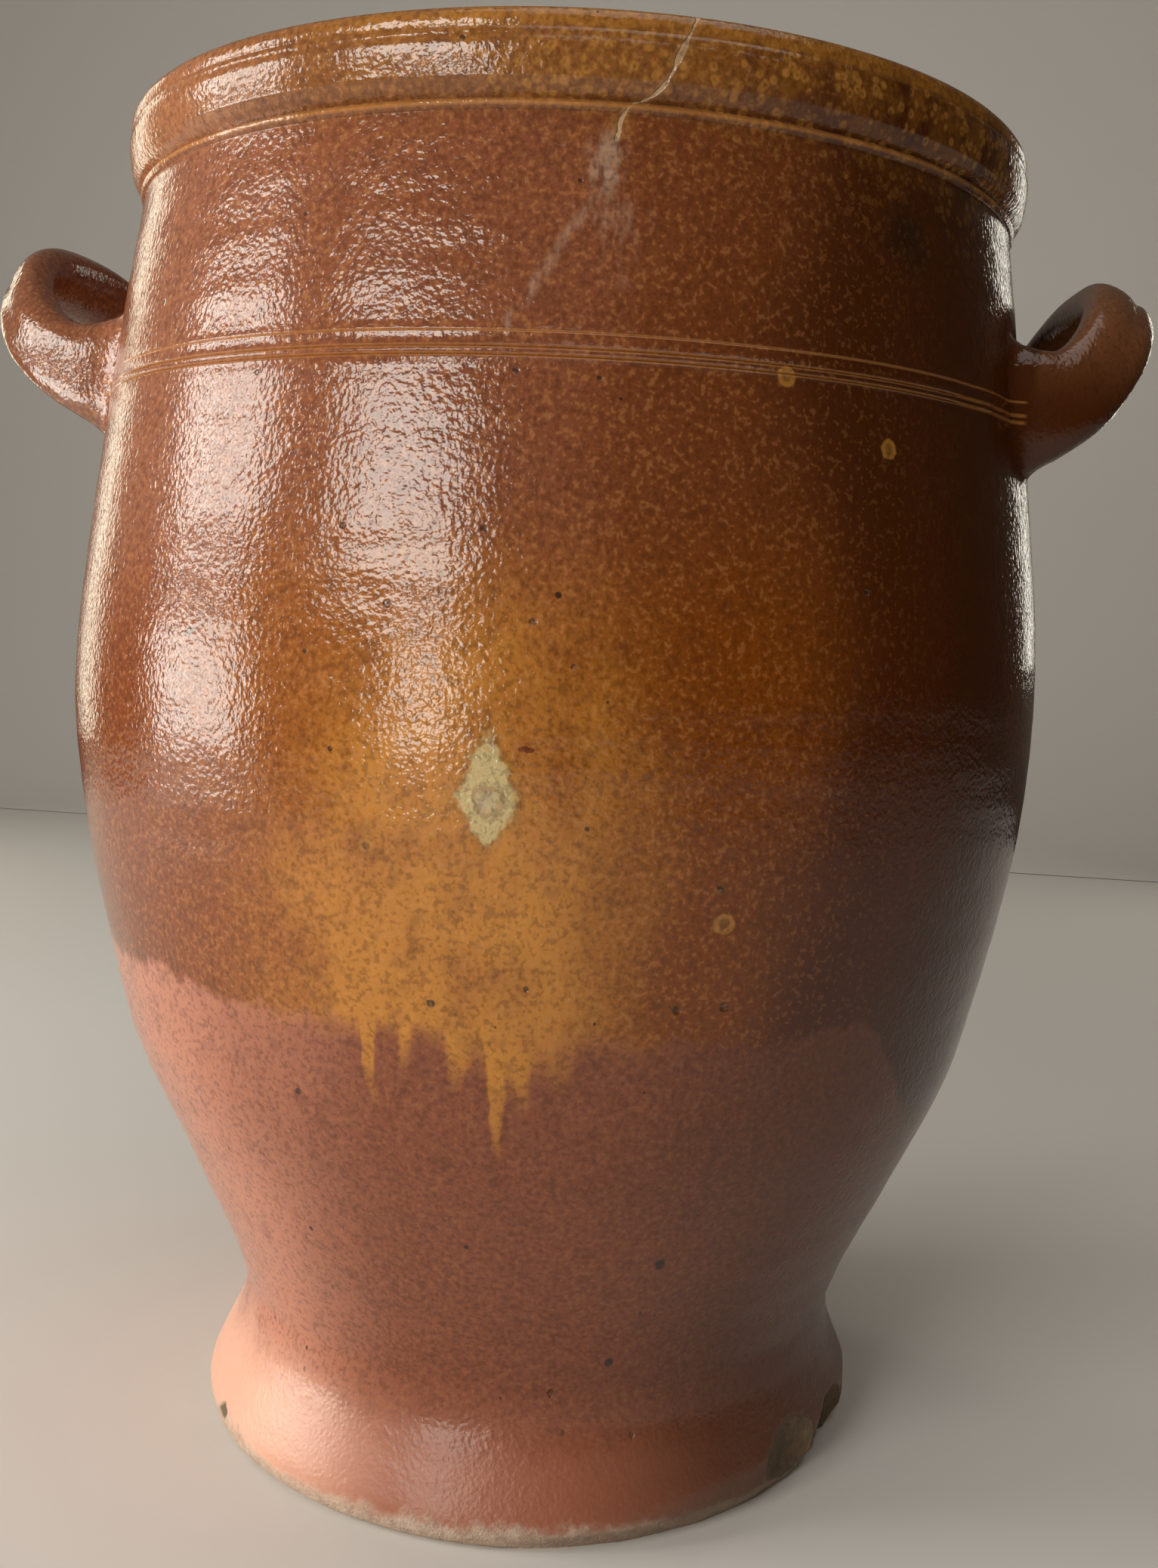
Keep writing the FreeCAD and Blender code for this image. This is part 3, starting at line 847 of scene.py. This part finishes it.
chip_mark = maths("MULTIPLY", ease(from_chip, 12.0, 9.0), ease(Z, chip_top - 3.5, chip_top - 2.2))
tone = paint(chip_mark, tone, colour(226, 206, 160))
feed(shader.inputs["Base Color"], tone)

# %% [markdown]
# Salt glaze has the skin of an orange: closely packed soft bumps a millimetre wide.
# Under it lie the throwing rings. The wet look comes from the smooth glaze on top.

# %% Give the glaze its skin
peel = clouds(0.0021, detail=0, seed=4.0)
lumps = clouds(0.0075, seed=61.0)
grain = clouds(0.0016, seed=62.0)
ripples = clouds(0.017, rough=0.6, seed=64.0, stretch=(0.16, 0.16, 1.0))
rise = maths("MULTIPLY_ADD", peel, 0.30, maths("MULTIPLY_ADD", lumps, 0.45, maths("MULTIPLY", grain, 0.40)))
rise = maths("MULTIPLY_ADD", ripples, 1.5, rise)
rise = maths("SUBTRACT", rise, maths("MULTIPLY", pits, 1.2))
rise = maths("SUBTRACT", rise, maths("MULTIPLY", crack_mark, 0.9))
rough_clay = maths("MAXIMUM", is_broken, bare)
crumbs = clouds(0.0022, detail=2, rough=0.8, seed=63.0)
rise = maths("ADD", rise, maths("MULTIPLY", maths("MULTIPLY", rough_clay, crumbs), 2.0))
relief = tree.nodes.new("ShaderNodeBump")
relief.inputs["Strength"].default_value = 0.6
relief.inputs["Distance"].default_value = 0.0008
feed(relief.inputs["Height"], rise)
feed(shader.inputs["Normal"], relief.outputs[0])
matt = maths("MAXIMUM", rough_clay, maths("MULTIPLY", worn, 0.6))
gloss = maths("MULTIPLY_ADD", clouds(0.03, detail=1, seed=71.0), 0.10, 0.08)
gloss = maths("ADD", gloss, maths("MULTIPLY", maths("SUBTRACT", 1.0, above_tide), 0.05))
gloss = maths("ADD", gloss, maths("MULTIPLY", smear, 0.25))
gloss = maths("ADD", gloss, maths("MULTIPLY", foot_blush_and_painted_light, 0.22))
feed(shader.inputs["Roughness"], maths("MULTIPLY_ADD", matt, 0.5, gloss, clamp=True))
shader.inputs["IOR"].default_value = 1.5
shader.inputs["Specular IOR Level"].default_value = 0.5
pot.data.materials.clear()
pot.data.materials.append(clay)

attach(pot, "root")
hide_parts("pot")

# %% [markdown]
# The camera stands where it stood for the picture: a little above the rim's height,
# looking slightly down, and leaning a little to one side.

# %% Place the camera
pot_turn = math.radians(8.97)
camera_distance = 1.2713 * 0.56
camera_height = 0.647 * 0.56
pitch, yaw, roll = math.radians(7.6095), math.radians(0.9844), math.radians(2.5206)
forward = Vector((math.sin(yaw) * math.cos(pitch), math.cos(yaw) * math.cos(pitch), -math.sin(pitch)))
right = Vector((math.cos(yaw), -math.sin(yaw), 0))
upward = right.cross(forward)
right, upward = (right * math.cos(roll) + upward * math.sin(roll),
                 upward * math.cos(roll) - right * math.sin(roll))
turned = Matrix.Rotation(pot_turn, 3, "Z")
forward, right, upward = turned @ forward, turned @ right, turned @ upward
lens = bpy.data.cameras.new("camera")
lens.sensor_width = 36.0
lens.lens = 35.16
lens.shift_x = -0.0003
lens.shift_y = 0.0299
camera = bpy.data.objects.new("camera", lens)
camera.matrix_world = Matrix((
    (right.x, upward.x, -forward.x, camera_distance * math.sin(pot_turn)),
    (right.y, upward.y, -forward.y, -camera_distance * math.cos(pot_turn)),
    (right.z, upward.z, -forward.z, camera_height),
    (0, 0, 0, 1)))
bpy.context.scene.collection.objects.link(camera)
bpy.context.scene.camera = camera

# %% [markdown]
# The pot stands on a plain pale floor in soft light. A tall window with three panes
# stands to its left, and the rest of the room is dim, so its right side falls dark.

# %% Floor and light
def plain(name, tone, rough):
    material = bpy.data.materials.new(name)
    material.use_nodes = True
    sheet = material.node_tree.nodes["Principled BSDF"]
    sheet.inputs["Base Color"].default_value = tone
    sheet.inputs["Roughness"].default_value = rough
    return material


bm = bmesh.new()
bmesh.ops.create_grid(bm, x_segments=1, y_segments=1, size=6.0)
floor_mesh = bpy.data.meshes.new("floor")
bm.to_mesh(floor_mesh)
bm.free()
floor = bpy.data.objects.new("floor", floor_mesh)
floor.data.materials.append(plain("pale_floor", (0.72, 0.70, 0.67, 1.0), 0.9))
bpy.context.scene.collection.objects.link(floor)

wall_distance, wall_curve, wall_half_width = 1.8, 1.2, 6.0
bm = bmesh.new()
profile = []
for i in range(25):
    bend = math.radians(90 * i / 24)
    profile.append((wall_distance + wall_curve * math.sin(bend), 0.001 + wall_curve * (1 - math.cos(bend))))
profile.append((wall_distance + wall_curve, 5.0))
verts = [bm.verts.new((-wall_half_width, y, z)) for y, z in profile]
edges = [bm.edges.new(pair) for pair in zip(verts, verts[1:])]
pulled = bmesh.ops.extrude_edge_only(bm, edges=edges)["geom"]
far_verts = [item for item in pulled if isinstance(item, bmesh.types.BMVert)]
bmesh.ops.translate(bm, verts=far_verts, vec=(2 * wall_half_width, 0, 0))
bmesh.ops.recalc_face_normals(bm, faces=bm.faces)
wall_mesh = bpy.data.meshes.new("backdrop")
bm.to_mesh(wall_mesh)
bm.free()
for face in wall_mesh.polygons:
    face.use_smooth = True
backdrop = bpy.data.objects.new("backdrop", wall_mesh)
backdrop.data.materials.append(floor.data.materials[0])
backdrop.visible_glossy = False
bpy.context.scene.collection.objects.link(backdrop)

window_angle, window_distance = -50.0, 1.6
panes = (
    # aside, height, width, tallness
    (-1.01, 0.96, 0.38, 0.48), (-0.50, 0.96, 0.38, 0.48), (0.72, 0.96, 0.95, 0.48),
    (-0.98, 0.30, 0.40, 0.48), (-0.49, 0.30, 0.40, 0.48), (1.00, 0.34, 0.45, 0.36),
)
pane_brightness = 34.0


def lamp(name, place, aim, wide, tall, power, tint):
    light = bpy.data.lights.new(name, "AREA")
    light.shape = "RECTANGLE"
    light.size, light.size_y = wide, tall
    light.energy = power
    light.color = tint
    made = bpy.data.objects.new(name, light)
    made.location = place
    made.rotation_euler = (Vector(aim) - Vector(place)).to_track_quat("-Z", "Y").to_euler()
    bpy.context.scene.collection.objects.link(made)
    return made


side = math.radians(window_angle)
outward = Vector((math.sin(side), -math.cos(side), 0))
beside = Vector((math.cos(side), math.sin(side), 0))
for number, (aside, high, wide, tall) in enumerate(panes):
    centre = outward * window_distance + beside * aside + Vector((0, 0, high))
    lamp("window_%d" % (number + 1), centre, centre - outward, wide, tall,
         pane_brightness * wide * tall, (1.0, 0.97, 0.89))
lamp("ceiling", (0.4, -0.6, 2.6), (0, 0, 0.3), 2.0, 2.0, 14.0, (1.0, 0.97, 0.93))

lamp("garden", (-1.6, 1.1, 0.75), (0, 0, 0.35), 0.35, 1.3, 4.0, (1.0, 0.95, 0.74))
lamp("doorway", (0.95, 1.6, 0.75), (0, 0, 0.4), 0.2, 0.8, 1.6, (1.0, 0.95, 0.82))

world = bpy.data.worlds.new("room")
world.use_nodes = True
room = world.node_tree
sight = room.nodes.new("ShaderNodeTexCoord")
split = room.nodes.new("ShaderNodeSeparateXYZ")
dusk = room.nodes.new("ShaderNodeMapRange")
dusk.inputs["From Min"].default_value = -0.6
dusk.inputs["From Max"].default_value = 0.8
blend = room.nodes.new("ShaderNodeMix")
blend.data_type = "RGBA"
blend.inputs[6].default_value = (0.17, 0.15, 0.13, 1.0)
blend.inputs[7].default_value = (0.034, 0.024, 0.014, 1.0)
room.links.new(sight.outputs["Generated"], split.inputs[0])
room.links.new(split.outputs["X"], dusk.inputs["Value"])
room.links.new(dusk.outputs["Result"], blend.inputs[0])
room.links.new(blend.outputs[2], room.nodes["Background"].inputs["Color"])
bpy.context.scene.world = world
bpy.context.scene.view_settings.view_transform = "Standard"
